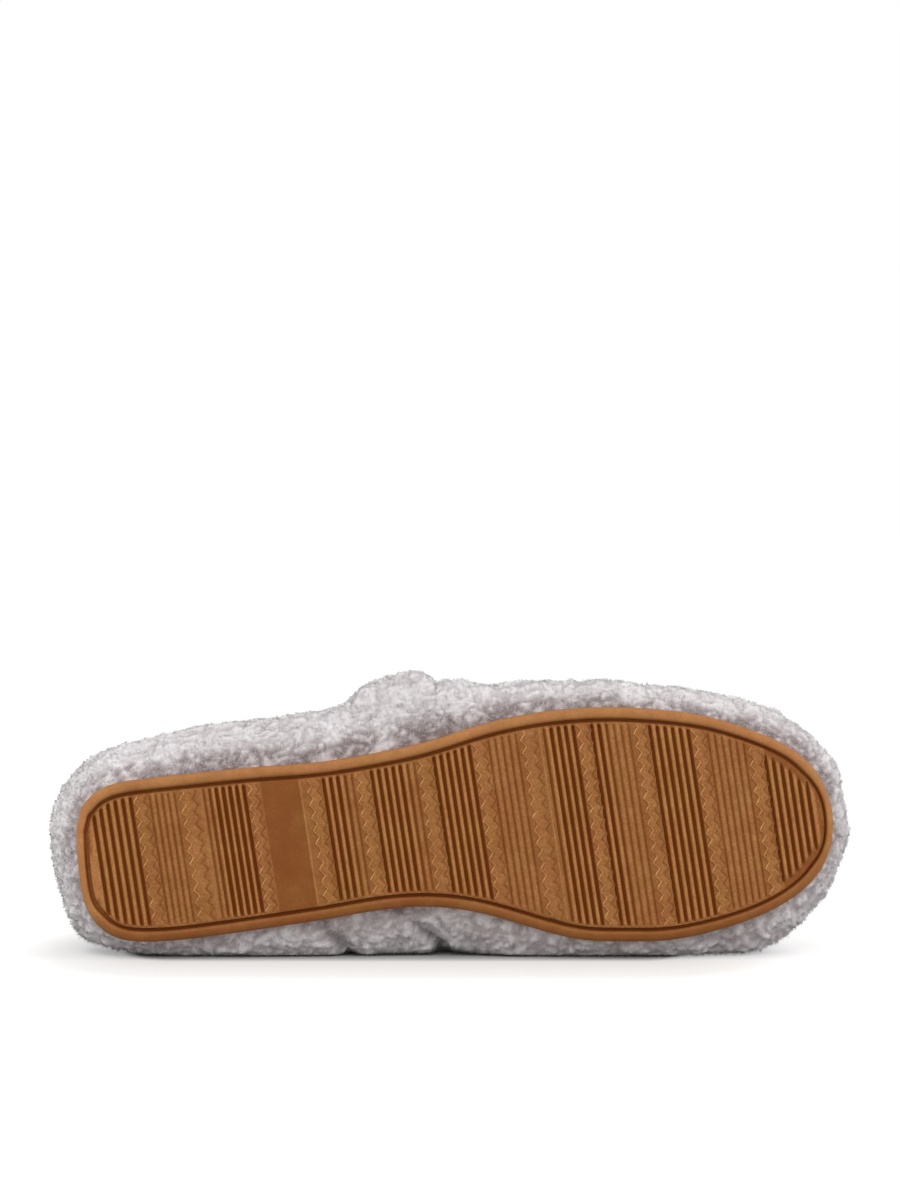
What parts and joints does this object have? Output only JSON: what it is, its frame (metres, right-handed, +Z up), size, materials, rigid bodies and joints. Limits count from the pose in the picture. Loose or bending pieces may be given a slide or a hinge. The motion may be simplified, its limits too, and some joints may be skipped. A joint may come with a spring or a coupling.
{
  "type": "mary jane slipper",
  "caption": "Right-foot house slipper in deep curly pile with an instep strap and a ribbed tan moulded sole, lying empty on its inner side with the tread facing front.",
  "frame": {"origin": "centre of the shoe's footprint on the floor it lies on, at floor level", "axes": "+X from heel to toe, level along the floor line under heel and ball, +Y from the tread through the sole to the collar, +Z up, towards the outer side of the foot"},
  "size_m": [0.2612, 0.0756, 0.0857],
  "materials": {
    "tan_rubber": "satin moulded, fine leather-like grain",
    "grey_sherpa": "curly clumped pile, matt",
    "grey_fleece": "short fleece nap, matt"
  },
  "bodies": {
    "root": {"outsole": "tan_rubber", "upper": "grey_sherpa", "strap": "grey_sherpa", "insole": "grey_fleece"}
  },
  "joints": []
}
